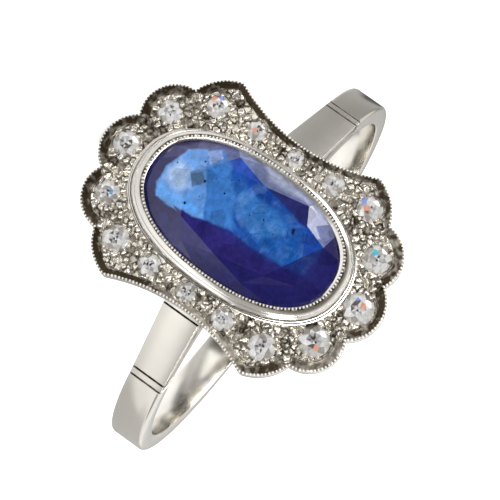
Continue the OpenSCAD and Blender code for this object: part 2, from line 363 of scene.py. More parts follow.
FINISHES = {
    # colour, then polish, dullness, scratch, waviness and metallic
    "polished platinum": (PLATINUM, 0.06, 0.1, 0.5, 0.3, 1.0),
    "satin platinum": (PLATINUM, 0.17, 0.08, 0.25, 0.2, 1.0),
    "bright-cut platinum": ((0.98, 0.937, 0.85, 1), 0.08, 0.15, 0.2, 0.5, 0.8),
    "milled platinum": ((0.97, 0.95, 0.91, 1), 0.32, 0.1, 0.2, 0.2, 0.4),
    "burnished platinum": ((0.95, 0.93, 0.89, 1), 0.1, 0.08, 0.4, 0.3, 0.9),
}
finishes = [worn_metal(name, *values) for name, values in FINISHES.items()]
polished, satin, bright_cut, beaded, burnished = finishes
print("finishes:", [finish.name for finish in finishes])

# %% [markdown]
# ## The band
# The band is one rounded section swept round the finger. It stops short of the
# sapphire, where the culet's window is cut through it. Two engraved lines cross
# it on each side, so the section draws in where they are.

# %% Rounded sections
def rounded_section(low_a, high_a, low_b, high_b, radii, steps):
    """A rectangle in directions a and b, with a radius for each corner, anticlockwise."""
    corners = [(low_a, low_b, 180), (high_a, low_b, 270), (high_a, high_b, 0), (low_a, high_b, 90)]
    points = []
    for (a, b, start), radius in zip(corners, radii):
        centre = (
            a + radius if a == low_a else a - radius,
            b + radius if b == low_b else b - radius,
        )
        points += arc(centre, radius, math.radians(start), math.radians(start + 90), steps)
    return points


# %% Engraved lines, as places along a shoulder
shoulder_angle = math.radians(51)
groove_w = 0.09
groove_d = 0.07
groove_at = (0.05, 0.5, 4.75)
groove_soft = 0.012
groove_shade = 0.03
groove_step = 0.001


def groove_depth(place):
    return groove_d if any(s < place < s + groove_w for s in groove_at) else 0.0


def groove_painted_shade(place):
    """Painted shade: 1 in a line, and down to 0 a little way off."""
    off_line = min(max(s - place, place - s - groove_w, 0) for s in groove_at)
    return max(0, 1 - off_line / groove_shade)


def groove_places():
    """Where a section is needed for each line: its soft edges, steep walls and floor."""
    before = (-groove_shade, -groove_soft, groove_step, groove_w / 2)
    after = (groove_w - groove_step, groove_w + groove_soft, groove_w + groove_shade)
    return [start + offset for start in groove_at for offset in before + after]


# %% Band
culet_window = 1.3
culet_gap = math.asin(culet_window / finger_r)
culet_slant = math.radians(3.5)
slant_reach = 0.2
band_rounds = (0.06, band_edge_r, band_edge_r, 0.06)
round_steps = 6


def band_section(angle, inset):
    """The band's section at an angle from the head, drawn in by an engraved line."""
    half = band_w / 2 - inset
    section = rounded_section(finger_r, band_r - inset, -half, half, band_rounds, round_steps)
    from_end = math.pi - abs(angle - math.pi) - culet_gap
    slant = culet_slant * max(0, 1 - from_end / slant_reach) * math.copysign(1, math.pi - angle)
    turned = [(r, y, angle + slant * (r - finger_r) / band_t) for r, y in section]
    return [(r * math.sin(a), y, r * math.cos(a)) for r, y, a in turned]


line_depths, line_painted_shade = {}, {}
for place in groove_places():
    if place < 1:
        angle = shoulder_angle - math.atan(place / band_r)
        for a in (angle, 2 * math.pi - angle):
            line_depths[a] = groove_depth(place)
            line_painted_shade[a] = groove_painted_shade(place)
even_angles = np.linspace(culet_gap, 2 * math.pi - culet_gap, 240)
angles = sorted({float(a) for a in even_angles} | set(line_depths))
rows = [band_section(a, line_depths.get(a, 0.0)) for a in angles]
band = piece("band", *tube(rows, flip=True), polished)

# %% [markdown]
# The band's outer face gets painted shade in the engraved lines, and a painted
# shadow under the shoulders' strips.

# %% Painted shade of the band
section = rounded_section(finger_r, band_r, 0, 1, band_rounds, round_steps)
outer = [r > finger_r + band_t / 2 for r, _ in section]
strip_gap = 0.03
# Painted shade in the engraved lines, and a painted shadow under each shoulder's strip.
soil_and_shade = []
for a in angles:
    under_strip = abs(a - math.pi) > math.pi - shoulder_angle + strip_gap
    soil_and_shade += [max(line_painted_shade.get(a, 0), 0.9 * under_strip) * is_outer for is_outer in outer]
paint(band, "grime_and_shade", soil_and_shade)
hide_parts("mount")

# %% [markdown]
# ## The shoulders
# A shoulder is a flat strip that leaves the band along its tangent. Its section
# widens toward the head. The same lines as on the band are cut across it, and a
# third one closes it at the head.

# %% Shoulders
shoulder_w = 1.6
shoulder_head_w = 1.85
shoulder_t = 0.45
shoulder_end = 5.2
shoulder_full = 6.28
shoulder_sunk = 0.02
underside = shoulder_t - 0.05
strip_rounds = (0.035, 0.035, 0.035, 0.035)
leave = Vector((band_r * math.sin(shoulder_angle), 0, band_r * math.cos(shoulder_angle)))
along = Vector((-math.cos(shoulder_angle), 0, math.sin(shoulder_angle)))
inward = Vector((-math.sin(shoulder_angle), 0, -math.cos(shoulder_angle)))


def shoulder_section(place, side):
    width = shoulder_w + (shoulder_head_w - shoulder_w) * place / shoulder_full
    inset = groove_depth(place)
    half = width / 2 - inset
    section = rounded_section(inset, shoulder_t, -half, half, strip_rounds, 4)
    points = [leave + place * along + depth * inward + Vector((0, y, 0)) for depth, y in section]
    return [(side * p.x, p.y, p.z) for p in points]


even_places = np.linspace(-shoulder_sunk, shoulder_end, 24)
places = sorted({float(p) for p in even_places} | set(groove_places()))
depths = [depth for depth, _ in rounded_section(0, shoulder_t, 0, 1, strip_rounds, 4)]
# Painted shade on the strips' undersides, over the slit to the band, and in the engraved lines.
soil_and_shade = [1.0 if depth > underside else groove_painted_shade(p) for p in places for depth in depths]
for name, side in (("shoulder_right", 1), ("shoulder_left", -1)):
    rows = [shoulder_section(p, side) for p in places]
    shoulder = piece(name, *tube(rows, flip=side > 0), satin)
    paint(shoulder, "grime_and_shade", soil_and_shade)
    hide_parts("mount")

# %% [markdown]
# ## The head's outline
# Each end of the head has five scallops and each side a hollow waist, all arcs of
# circles. A drawn-in outline keeps the circles' middles and changes their radii,
# so every drawn-in loop has the same points in the same order and can be skinned
# to its neighbour.

# %% Outline
waist = Vector((waist_x + waist_r, 0))
centres = [Vector((x, y)) for x, y, _ in SCALLOPS]
radii = [r for _, _, r in SCALLOPS]


def circles_meet(c1, r1, c2, r2):
    """Where two circles cross, on the side that turns left from the first to the second."""
    gap = c2 - c1
    reach = (r1 * r1 - r2 * r2 + gap.length_squared) / (2 * gap.length)
    rise = math.sqrt(r1 * r1 - reach * reach)
    unit = gap.normalized()
    return c1 + reach * unit + rise * Vector((-unit.y, unit.x))


def heading(vector):
    return math.atan2(vector.y, vector.x)


corner = circles_meet(centres[2], radii[2] - corner_r, waist, waist_r + corner_r)


def outline_quarter(inset):
    """One quarter of the outline, from the top scallop's middle to the waist's middle."""
    drawn_in = [radius - inset for radius in radii]
    cusps = [
        circles_meet(centres[i], drawn_in[i], centres[i + 1], drawn_in[i + 1]) for i in (0, 1)
    ]
    starts = [math.pi / 2, heading(cusps[0] - centres[1]), heading(cusps[1] - centres[2])]
    ends = [heading(cusps[i] - centres[i]) for i in (0, 1)] + [heading(corner - centres[2])]
    points = []
    for centre, radius, start, end, count in zip(centres, drawn_in, starts, ends, (16, 22, 30)):
        points += arc(centre, radius, start, end, count)[:-1]
    points += arc(corner, corner_r - inset, ends[2], heading(waist - corner), 14)[:-1]
    points += arc(waist, waist_r + inset, heading(corner - waist), math.pi, 26)
    return points


def outline(inset):
    quarter = outline_quarter(inset)
    right_low = [(x, -y) for x, y in quarter[-2::-1]]
    half = quarter + right_low
    return half + [(-x, y) for x, y in half[-2:0:-1]]


loop = outline(0)
length = sum(math.dist(a, b) for a, b in zip(loop, loop[1:] + loop[:1]))
print("outline points:", len(loop), "length mm:", round(length, 2))

# %% How far a point lies inside the outline
CORE = ((4.6, 3.4), (1.9, 5))
core_slant = 3.14


def head_inset(x, y):
    """Inset at points given as arrays, with the sharp mitre lines that a cut channel has."""
    x, y = np.abs(x), np.abs(y)
    (side_x, side_y), (end_x, end_y) = CORE
    slanted = (side_x - x) * (end_y - side_y) + (side_y - y) * (side_x - end_x)
    inside = np.minimum(np.minimum(side_x - x, end_y - y), slanted / core_slant)
    for centre, radius in zip(centres, radii):
        inside = np.maximum(inside, radius - np.hypot(x - centre.x, y - centre.y))
    inside = np.minimum(inside, np.hypot(x - waist.x, y) - waist_r)
    turn_here = np.arctan2(y - corner.y, x - corner.x)
    in_wedge = turn_here < heading(corner - centres[2])
    in_wedge &= turn_here > heading(waist - corner)
    rounded = corner_r - np.hypot(x - corner.x, y - corner.y)
    return np.where(in_wedge, np.minimum(inside, rounded), inside)


def oval_share(x, y, half_w, half_l):
    """Under 1 inside a squared oval."""
    total = (np.abs(x) / half_w) ** oval_power + (np.abs(y) / half_l) ** oval_power
    return total ** (1 / oval_power)


# %% [markdown]
# ## The head's wall and its underside
# The thin wall is a skin round the outline. The plate's underside and top are
# triangulated with a window under each stone, as a jeweller saws them to let light
# in, and a tube lines each window. All of them share their points, so the wall is
# one closed body.

# %% Loops and flat fills
def circle_loop(centre, radius, count):
    return arc(centre, radius, 0, 2 * math.pi * (1 - 1 / count), count)


def oval_point(a, half_w, half_l):
    reach = (abs(math.cos(a)) ** oval_power + abs(math.sin(a)) ** oval_power) ** (-1 / oval_power)
    return (half_w * reach * math.cos(a), half_l * reach * math.sin(a))


def oval_loop(half_w, half_l, count):
    return [oval_point(2 * math.pi * k / count, half_w, half_l) for k in range(count)]


def flat_fill(points, edges):
    """Triangles between flat points, facing up, inside an odd number of the edges' loops."""
    points = [Vector(p) for p in points]
    solved = delaunay_2d_cdt(points, [tuple(e) for e in edges], [], 0, 1e-7)
    flat = np.array([tuple(p) for p in solved[0]])
    triangles = np.array(solved[2])
    a, b, c = (flat[triangles[:, i]] for i in range(3))
    turned = (b - a)[:, 0] * (c - a)[:, 1] < (b - a)[:, 1] * (c - a)[:, 0]
    triangles[turned] = triangles[turned][:, ::-1]
    x, y = ((a + b + c) / 3).T[:, :, None]
    start, end = flat[np.array(edges)[:, 0]], flat[np.array(edges)[:, 1]]
    crosses = (start[:, 1] > y) != (end[:, 1] > y)
    rise = end[:, 1] - start[:, 1]
    share = (y - start[:, 1]) / np.where(rise == 0, 1, rise)
    beyond = start[:, 0] + share * (end[:, 0] - start[:, 0]) > x
    return triangles[(crosses & beyond).sum(axis=1) % 2 == 1].tolist()


# %% Wall and underside
plate_top = head_z + 0.25
window_share = 0.45
collet_hole = (2.62, 4.67)
WALL = [
    # inset, height, painted shade on the wall's top and sides under the milgrain, from the
    # underside up and down again inside
    (0.05, head_z, 0),
    (0.012, head_z + 0.015, 0),
    (0.0, head_z + 0.06, 0),
    (0.0, wall_z - 0.26, 0),
    (0.0, wall_z - 0.23, 0.5),
    (0.0, wall_z - 0.1, 0.7),
    (0.01, wall_z - 0.07, 0.75),
    (0.035, wall_z - 0.05, 0.8),
    (wall_t - 0.035, wall_z - 0.05, 0.9),
    (wall_t - 0.01, wall_z - 0.07, 0.9),
    (wall_t, wall_z - 0.1, 0.6),
    (wall_t, plate_top, 0.6),
]
holes = [oval_loop(*collet_hole, 64)]
holes += [circle_loop((x, y), window_share * d / 2, 24) for x, y, d in DIAMONDS]
points, faces = skin([[(x, y, z) for x, y in outline(inset)] for inset, z, _ in WALL])
faces = [f[::-1] for f in faces]
count = len(outline(0))
low = list(range(count))
high = list(range(len(points) - count, len(points)))
edges = [(i, (i + 1) % count) for i in range(count)]
for hole in holes:
    lining, lining_faces = skin([[(x, y, z) for x, y in hole] for z in (head_z, plate_top)])
    first, size = len(points), len(hole)
    faces += [tuple(first + i for i in reversed(f)) for f in lining_faces]
    edges += [(len(low) + i, len(low) + (i + 1) % size) for i in range(size)]
    low += range(first, first + size)
    high += range(first + size, first + 2 * size)
    points += lining
for level, order in ((low, -1), (high, 1)):
    for face in flat_fill([points[i][:2] for i in level], edges):
        faces.append(tuple(level[i] for i in face[::order]))
head_wall = piece("head_wall", points, faces, polished)
# Painted shade on the wall's top and sides, under the milgrain.
grime_and_shade = np.zeros(len(points))
grime_and_shade[: len(WALL) * count] = np.repeat([row[2] for row in WALL], count)
paint(head_wall, "grime_and_shade", grime_and_shade)
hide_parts("mount")

# %% [markdown]
# ## The field
# Inside the wall a bright-cut channel slopes inward, and the stones sit in a
# raised field whose metal was pushed up into hundreds of small grains. A grid of
# heights carries all of that. Each grain is a cell round its own random middle,
# with its own height and tilt, and dark cuts run between the cells.

# %% Where the field and its grains lie
channel_top = 10.56
channel_slope = math.tan(math.radians(30))
channel_foot = 0.46
field_inset = 0.40
waist_gain = 0.12
pad_w = 0.12
CUSP_PADS = [(1.27, 5.92), (3.3, 4.67)]
cusp_pad_r = 0.3
collet_foot = (3.12, 5.22)
collet_side = (3.02, 5.1)
beside_collet = (3.2, 5.3)


def step(low, high, value):
    t = np.clip((value - low) / (high - low), 0, 1)
    return t * t * (3 - 2 * t)


def field_reach(x, y):
    """Distance inside the field's edge: the drawn-in outline, with pads at stones and cusps."""
    at_waist = step(4.4, 3.2, np.abs(y)) * step(2.6, 3.3, np.abs(x))
    reach = head_inset(x, y) - field_inset + waist_gain * at_waist
    for sx, sy, d in DIAMONDS:
        reach = np.maximum(reach, d / 2 + pad_w - np.hypot(x - sx, y - sy))
    for cx, cy in CUSP_PADS:
        reach = np.maximum(reach, cusp_pad_r - np.hypot(np.abs(x) - cx, np.abs(y) - cy))
    return reach


def stone_reach(x, y):
    """Distance outside the nearest stone's edge."""
    return np.min([np.hypot(x - sx, y - sy) - d / 2 for sx, sy, d in DIAMONDS], axis=0)


# %% Scatter the grains' middles
rng = np.random.default_rng(16)
grain_gap = 0.26
gap_range = (0.65, 1.3)
tries = rng.uniform((-4.8, -7.0), (4.8, 7.0), (24000, 2))
x, y = tries.T
allowed = (field_reach(x, y) > 0.05) & (stone_reach(x, y) > 0.02)
allowed &= oval_share(x, y, *collet_foot) > 1.01
grains = []
for spot in tries[allowed]:
    if grains:
        closest = np.min(np.hypot(*(np.array(grains) - spot).T))
        if closest <= grain_gap * rng.uniform(*gap_range):
            continue
    grains.append(spot)
grains = np.array(grains)
grain_height = rng.uniform(0.02, 0.2, len(grains))
grain_tilt = rng.normal((-0.3, -0.35), 0.75, (len(grains), 2))
print("grains:", len(grains))

# %% [markdown]
# Some grains are soiled. Most of them lie near one corner of the head's upper end,
# and a few more at its lower left.

# %% Choose the soiled grains
x, y = grains.T
from_corner = np.hypot(x - 1.4, y - 4.5)
soiled_share = 0.25 + 0.65 * step(2.2, 0.8, from_corner)
soiled_share += 0.2 * step(-1.5, -3.0, x) * step(1, -3, y)
soiled = rng.random(len(grains)) < soiled_share
grain_soil = np.where(soiled, rng.uniform(0.3, 1.0, len(grains)), 0)
print("soiled grains:", soiled.sum())

# %% [markdown]
# For each point of the grid we need the nearest grain, and how much nearer it is
# than the second one. The points are first moved a little along waves, so that the
# borders between grains aren't straight.

# %% A grid over the head
cell = 0.03
chunk = 4000
cut_w = 0.05
xs, ys = np.meshgrid(np.arange(-5.01, 5.02, cell), np.arange(-7.02, 7.03, cell), indexing="ij")
inset = head_inset(xs, ys)
live = (inset > wall_t * 0.4) & (oval_share(xs, ys, *collet_side) > 1)
x, y, inset = xs[live], ys[live], inset[live]
wavy_x = x + 0.03 * np.sin(19 * y + 3 * np.sin(7 * x)) + 0.015 * np.sin(43 * y + 11 * x)
wavy_y = y + 0.03 * np.sin(17 * x + 3 * np.sin(6 * y)) + 0.015 * np.sin(39 * x - 13 * y)
nearest = np.empty((len(x), 2))
which = np.empty(len(x), int)
for start in range(0, len(x), chunk):
    part = slice(start, start + chunk)
    gaps = np.hypot(wavy_x[part, None] - grains[:, 0], wavy_y[part, None] - grains[:, 1])
    pair = np.argpartition(gaps, 1, axis=1)[:, :2]
    two = np.take_along_axis(gaps, pair, axis=1)
    order = np.argsort(two, axis=1)
    nearest[part] = np.take_along_axis(two, order, axis=1)
    which[part] = np.take_along_axis(pair, order, axis=1)[:, 0]
from_border = (nearest[:, 1] - nearest[:, 0]) / 2

# %% Heights of the field
grain_fall = (0.24, 0.14)
seat_z = 10.36
seat_drop = 0.252
seat_gap = 0.03
off_x, off_y = x - grains[which, 0], y - grains[which, 1]
tilt_x, tilt_y = grain_tilt[which].T
body = step(0, cut_w, from_border) * step(*grain_fall, nearest[:, 0])
grain = body * (grain_height[which] + tilt_x * off_x + tilt_y * off_y + 0.03)
reach = field_reach(x, y)
channel = channel_top - channel_slope * (inset - wall_t)
channel = np.maximum(channel, channel_top - channel_slope * (channel_foot - wall_t))
lip = 0.045 * step(0.0, 0.03, reach) * step(0.1, 0.05, reach)
raised = field_z - 0.03 + lip + np.clip(grain, -0.02, 0.16) * step(0.03, 0.08, reach)
height = channel + (raised - channel) * step(-0.02, 0.015, reach)
for sx, sy, d in DIAMONDS:
    r = d / 2
    out = np.hypot(x - sx, y - sy)
    cone = seat_z - (r + seat_gap - out) / (r * (1 - window_share)) * seat_drop * d
    height = np.where(out < r + 0.02, np.minimum(height, cone), height)

# %% Cells of the grid, and the windows in them
lattice = np.full(xs.shape, -1)
lattice[live] = np.arange(len(x))
open_window = np.zeros(len(x), bool)
for sx, sy, d in DIAMONDS:
    out = np.hypot(x - sx, y - sy)
    rim = window_share * d / 2
    near = np.abs(out - rim) < cell * 0.5
    x = np.where(near, sx + (x - sx) * rim / np.maximum(out, 1e-6), x)
    y = np.where(near, sy + (y - sy) * rim / np.maximum(out, 1e-6), y)
    open_window |= (out < rim) & ~near
quads = [lattice[:-1, :-1], lattice[1:, :-1], lattice[1:, 1:], lattice[:-1, 1:]]
quads = np.stack(quads, axis=-1).reshape(-1, 4)
quads = quads[(quads >= 0).all(axis=1)]
quads = quads[~open_window[quads].any(axis=1)]
used = np.unique(quads)
renumber = np.full(len(x), -1)
renumber[used] = np.arange(len(used))
quads = renumber[quads]
points = np.stack([x[used], y[used], height[used]], axis=1)
print("cells of the field:", len(quads))

# %% [markdown]
# Painted shade fills the cuts between the grains, and painted shade and dark
# reflection lie in the channel. How dark the channel is painted goes by the
# direction from the head's middle, in degrees from the ring's right-hand side. The
# soiled grains keep their dirt.

# %% Painted shade and dirt of the field
# Painted shade and dark reflection of the channel, by direction in degrees
CHANNEL_PAINTED_SHADE = [
    (0, 1.1), (25, 1.3), (42, 1.35), (60, 1.0), (75, 1.1), (105, 1.0), (120, 1.1),
    (150, 1.4), (175, 0.6), (205, 0.5), (225, 1.1), (240, 0.8), (255, 0.7), (270, 1.3),
    (285, 1.1), (300, 0.85), (314, 1.1), (335, 0.85), (350, 1.1), (360, 1.1),
]
cut = 1 - step(0.0, cut_w, from_border)
in_field = step(0.0, 0.05, reach)
channel_painted_shade = np.interp(np.degrees(np.arctan2(y, x)) % 360, *np.transpose(CHANNEL_PAINTED_SHADE))
# Painted shade in the cuts and the channel, and dirt on the soiled grains.
soil_and_shade = in_field * np.maximum(0.95 * cut, grain_soil[which]) + (1 - in_field) * channel_painted_shade

# %% [markdown]
# ### The field as a closed slab
# The field's rim is every edge that only one cell has. A skirt goes down from it
# to a flat bottom, which lies hidden inside the plate.

# %% The field as a closed slab
edges = np.concatenate([quads[:, [k, (k + 1) % 4]] for k in range(4)])
one_way = edges[:, 0] * len(used) + edges[:, 1]
other_way = edges[:, 1] * len(used) + edges[:, 0]
edges = edges[~np.isin(one_way, other_way)]
rim = np.unique(edges)
under = np.zeros(len(used), int)
under[rim] = len(used) + np.arange(len(rim))
bottom = np.column_stack([points[rim, :2], np.full(len(rim), plate_top - 0.1)])
start, end = edges.T
skirt = np.stack([end, start, under[start], under[end]], axis=1)
lower = flat_fill(points[rim, :2].tolist(), np.searchsorted(rim, edges).tolist())
faces = quads.tolist() + skirt.tolist() + [[len(used) + i for i in reversed(f)] for f in lower]
points = np.concatenate([points, bottom]).tolist()
field = piece("grained_field", points, faces, bright_cut, smooth_angle=75)
paint(field, "grime_and_shade", np.concatenate([soil_and_shade[used], np.zeros(len(rim))]))
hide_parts("mount")

# %% [markdown]
# ## The collet
# The sapphire's setting is one skin of squared ovals, from its foot up the steps
# to the lip and back down inside the hollow. Each row also says how much painted
# shade it gets, in the steps, under the lip and down the hollow.
# The opening was cut a little off the middle, so the ovals move over as they rise.

# %% Collet
COLLET = [
    # height, half-length, half-width, painted shade
    (8.9, 3.7, 1.8, 0),
    (9.75, 4.7, 2.65, 0),
    (10.4, 5.22, 3.12, 0),
    (10.57, 5.22, 3.12, 0.3),
    (10.6, 5.21, 3.11, 0),
    (10.605, 5.16, 3.09, 0.2),
    (10.575, 5.145, 3.08, 0.9),
    (10.59, 5.13, 3.07, 0.9),
    (10.74, 5.13, 3.07, 0.5),
    (10.77, 5.115, 3.06, 0),
    (10.775, 5.08, 3.045, 0.1),
    (10.745, 5.065, 3.04, 0.9),
    (10.76, 5.05, 3.03, 0.9),
    (10.93, 5.04, 3.025, 0.3),
    (10.97, 5.02, 3.01, 0),
    (11.02, 4.98, 2.98, 0),
    (11.07, 4.93, 2.945, 0),
    (11.06, 4.915, 2.935, 0.7),
    (11.085, 4.9, 2.925, 0),
    (11.15, 4.83, 2.87, 0),
    (11.2, 4.76, 2.815, 0),
    (11.235, 4.7, 2.77, 0.2),
    (11.195, 4.685, 2.758, 1),
    (11.185, 4.57, 2.67, 1),
    (11.2, 4.55, 2.655, 0.4),
    (11.195, 4.52, 2.63, 0),
    (11.16, 4.495, 2.61, 0),
    (11.1, 4.475, 2.59, 0.9),
    (11.06, 4.465, 2.575, 1),
    (11.04, 4.72, 2.82, 1),
    (10.8, 4.73, 2.83, 1),
    (10.3, 4.32, 2.42, 1),
    (9.5, 4.1, 2.1, 0.7),
    (8.92, 3.62, 1.69, 0),
]
collet_count = 200
lip_shift = 0.09


def shifted_oval(half_w, half_l, z, count):
    over = lip_shift * step(10.7, 11.2, z) * (half_l > 4.5)
    return [(x + over, y - 0.4 * over, z) for x, y in oval_loop(half_w, half_l, count)]


rows = [shifted_oval(half_w, half_l, z, collet_count) for z, half_l, half_w, _ in COLLET]
collet = piece("collet", *skin(rows, closed=True), burnished, smooth_angle=30)
# Painted shade in the steps, under the lip and inside the hollow.
paint(collet, "grime_and_shade", np.repeat([row[3] for row in COLLET], collet_count))
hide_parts("mount")

# %% [markdown]
# ## Milgrain
# A knurled wheel rolled along an edge leaves a row of tiny beads. They all are one
# bead at an even pitch, so a Geometry Nodes tree lays them along any loop: it
# resamples the loop, puts a bead on each point, turns it along the loop and makes
# each bead a little smaller than it could be, by its own random amount.

# %% Helpers for geometry trees
def geometry_tree(name, sockets):
    tree = bpy.data.node_groups.new(name, "GeometryNodeTree")
    face = tree.interface
    face.new_socket("Geometry", in_out="INPUT", socket_type="NodeSocketGeometry")
    for label, kind, value in sockets:
        socket = face.new_socket(label, in_out="INPUT", socket_type="NodeSocket" + kind)
        socket.default_value = value
    face.new_socket("Material", in_out="INPUT", socket_type="NodeSocketMaterial")
    face.new_socket("Geometry", in_out="OUTPUT", socket_type="NodeSocketGeometry")
    start = tree.nodes.new("NodeGroupInput").outputs
    end = tree.nodes.new("NodeGroupOutput").inputs
    return tree, start, end


def random_node(tree, kind, low, high, seed):
    """A random number or vector for each point."""
    first = 0 if kind == "FLOAT_VECTOR" else 2
    inputs = {first: low, first + 1: high, "Seed": seed}
    return add_node(tree, "FunctionNodeRandomValue", inputs, data_type=kind).outputs[first // 2]


def beads_on(tree, points, bead, turn, size, material, end):
    """Ends a tree: one bead on each point, as plain mesh with its material."""
    inputs = {"Points": points, "Instance": bead, "Rotation": turn, "Scale": size}
    beads = add_node(tree, "GeometryNodeInstanceOnPoints", inputs).outputs[0]
    real = add_node(tree, "GeometryNodeRealizeInstances", {"Geometry": beads}).outputs[0]
    inputs = {"Geometry": real, "Material": material}
    tree.links.new(add_node(tree, "GeometryNodeSetMaterial", inputs).outputs[0], end["Geometry"])


def grown(name, mesh, tree, material, values):
    """A finished piece, made of what a geometry tree grows on a mesh."""
    source = add_object(name + "_source", mesh)
    modifier = source.modifiers.new("grow", "NODES")
    modifier.node_group = tree
    sockets = {s.name: s.identifier for s in tree.interface.items_tree if s.in_out == "INPUT"}
    for label, value in [*values.items(), ("Material", material)]:
        modifier[sockets[label]] = value
    graph = bpy.context.evaluated_depsgraph_get()
    result = bpy.data.meshes.new_from_object(source.evaluated_get(graph))
    bpy.data.objects.remove(source)
    result.name = name
    result.transform(LAY_DOWN)
    return finish_piece(name, result, material, "white_metal", 60)


# %% Milgrain tree
def milgrain_tree():
    tree, start, end = geometry_tree("Milgrain", [
        ("Pitch", "Float", 0.145),
        ("Bead", "Vector", (0.05, 0.06, 0.06)),
        ("Unevenness", "Float", 0.15),
        ("Seed", "Int", 3),
    ])
    curve = add_node(tree, "GeometryNodeMeshToCurve", {"Mesh": start["Geometry"]}).outputs[0]
    inputs = {"Curve": curve, "Length": start["Pitch"]}
    even = add_node(tree, "GeometryNodeResampleCurve", inputs, mode="LENGTH").outputs[0]
    points = add_node(tree, "GeometryNodeCurveToPoints", {"Curve": even}, mode="EVALUATED").outputs
    turn = add_node(
        tree,
        "FunctionNodeAlignRotationToVector",
        {"Vector": points["Tangent"]},
        axis="X",
        pivot_axis="Z",
    )
    ball = add_node(tree, "GeometryNodeMeshUVSphere", {"Segments": 8, "Rings": 5, "Radius": 1.0})
    least = math_node(tree, "SUBTRACT", 1.0, start["Unevenness"])
    share = random_node(tree, "FLOAT", least, 1.0, start["Seed"])
    size = vector_math(tree, "SCALE", start["Bead"], scale=share)
    beads_on(
        tree, points["Points"], ball.outputs["Mesh"], turn.outputs[0], size, start["Material"], end
    )
    return tree


# %% Milgrain on the head's wall and on the collet's lip
wall_loop = [(x, y, wall_z - 0.1) for x, y in outline(0.05)]
lip_loop = shifted_oval(2.685, 4.59, 11.215, 240)
milgrain = milgrain_tree()
for name, loop, pitch, bead in (
    ("wall_milgrain", wall_loop, 0.155, (0.062, 0.066, 0.13)),
    ("lip_milgrain", lip_loop, 0.15, (0.052, 0.07, 0.07)),
):
    mesh = add_mesh(name, loop, [(i, (i + 1) % len(loop)) for i in range(len(loop))])
    values = {"Pitch": pitch, "Bead": bead, "Unevenness": 0.2, "Seed": 3}
    row = grown(name, mesh, milgrain, beaded, values)
    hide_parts("mount")

# %% [markdown]
# ## Grains that hold the stones
# A diamond is held by beads raised from the metal beside it and pushed over its
# edge. A tree puts a few on a circle round each stone, each one a little off its
# place, as hand work is.

# %% Setting grain tree
def setting_tree():
    tree, start, end = geometry_tree("Setting grains", [
        ("Radius", "Float", 0.11),
        ("Spread", "Float", 0.04),
        ("Seed", "Int", 5),
    ])
    seed = start["Seed"]
    inputs = {"Mesh": start["Geometry"]}
    points = add_node(tree, "GeometryNodeMeshToPoints", inputs, mode="VERTICES").outputs[0]
    back = vector_math(tree, "SCALE", (-1, -1, -0.5), scale=start["Spread"])
    ahead = vector_math(tree, "SCALE", (1, 1, 0.5), scale=start["Spread"])
    inputs = {"Geometry": points, "Offset": random_node(tree, "FLOAT_VECTOR", back, ahead, seed)}
    moved = add_node(tree, "GeometryNodeSetPosition", inputs).outputs[0]
    inputs = {"Radius": start["Radius"], "Subdivisions": 2}
    ball = add_node(tree, "GeometryNodeMeshIcoSphere", inputs).outputs["Mesh"]
    size = random_node(tree, "FLOAT_VECTOR", (0.6, 0.6, 0.6), (1.25, 1.25, 1.1), seed)
    turn = random_node(tree, "FLOAT_VECTOR", (0, 0, 0), (0.5, 0.5, 6.28), seed)
    beads_on(tree, moved, ball, turn, size, start["Material"], end)
    return tree


# %% Setting grains round the stones
random.seed(21)
grain_spacing = 0.42
grain_out = 0.035
wall_clear = 0.5
spots = []
for x, y, d in DIAMONDS:
    count = max(5, round(math.pi * d / grain_spacing))
    start = random.uniform(0, 1)
    out = d / 2 + grain_out
    for k in range(count):
        a = 2 * math.pi * (k + start + random.uniform(-0.25, 0.25)) / count
        spot = (x + out * math.cos(a), y + out * math.sin(a))
        if oval_share(*spot, *beside_collet) > 1 and head_inset(*spot) > wall_clear:
            spots.append((*spot, field_z + 0.02))
mesh = add_mesh("setting_spots", spots)
values = {"Radius": 0.1, "Spread": 0.03, "Seed": 5}
setting_grains = grown("setting_grains", mesh, setting_tree(), bright_cut, values)
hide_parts("mount")

# %% [markdown]
# ## The sapphire
# The stone keeps its packed facets: a table, eight stars, and kites and rim facets
# that meet the girdle at sixteen uneven places. Below the girdle its rows step in
# to the culet.

# %% Facets of the sapphire
STONE_TABLE = [
    (1.74, 0.0), (1.5, 2.02), (0.22, 2.95), (-1.25, 2.1),
    (-1.74, 0.05), (-1.3, -2.1), (0.25, -2.93), (1.42, -2.34),
]
STONE_STARS = [
    (2.17, 1.6), (1.2, 3.2), (-0.85, 3.4), (-2.05, 1.5),
    (-2.05, -1.5), (-0.85, -3.4), (1.1, -3.38), (2.16, -1.9),
]
STONE_GIRDLE = [0, 25, 45, 68, 90, 112, 135, 155, 180, 205, 225, 248, 270, 292, 315, 334]
STONE_STEPS = [(0, 1), (0.38, 0.78), (0.74, 0.46), (1, 0.12)]
crown_h = 0.8
star_h = 0.56
pavilion_h = 1.95
sapphire_edge = 0.12
girdle = [oval_point(math.radians(a), sapphire_w, sapphire_l) for a in STONE_GIRDLE]
points = [(x, y, girdle_z + crown_h) for x, y in STONE_TABLE]
points += [(x, y, girdle_z + star_h) for x, y in STONE_STARS]
points += [(x, y, girdle_z) for x, y in girdle]
faces = [tuple(range(8))]
for k in range(8):
    after = (k + 1) % 8
    star, star_before = 8 + k, 8 + (k + 7) % 8
    main, between, next_main = 16 + 2 * k, 17 + 2 * k, 16 + 2 * after
    faces.append((k, star, after))
    faces.append((star_before, main, star, k))
    faces.append((star, main, between))
    faces.append((star, between, next_main))
for drop, share in STONE_STEPS:
    z = girdle_z - sapphire_edge - drop * (pavilion_h - sapphire_edge)
    points += [(x * share, y * share, z) for x, y in girdle]
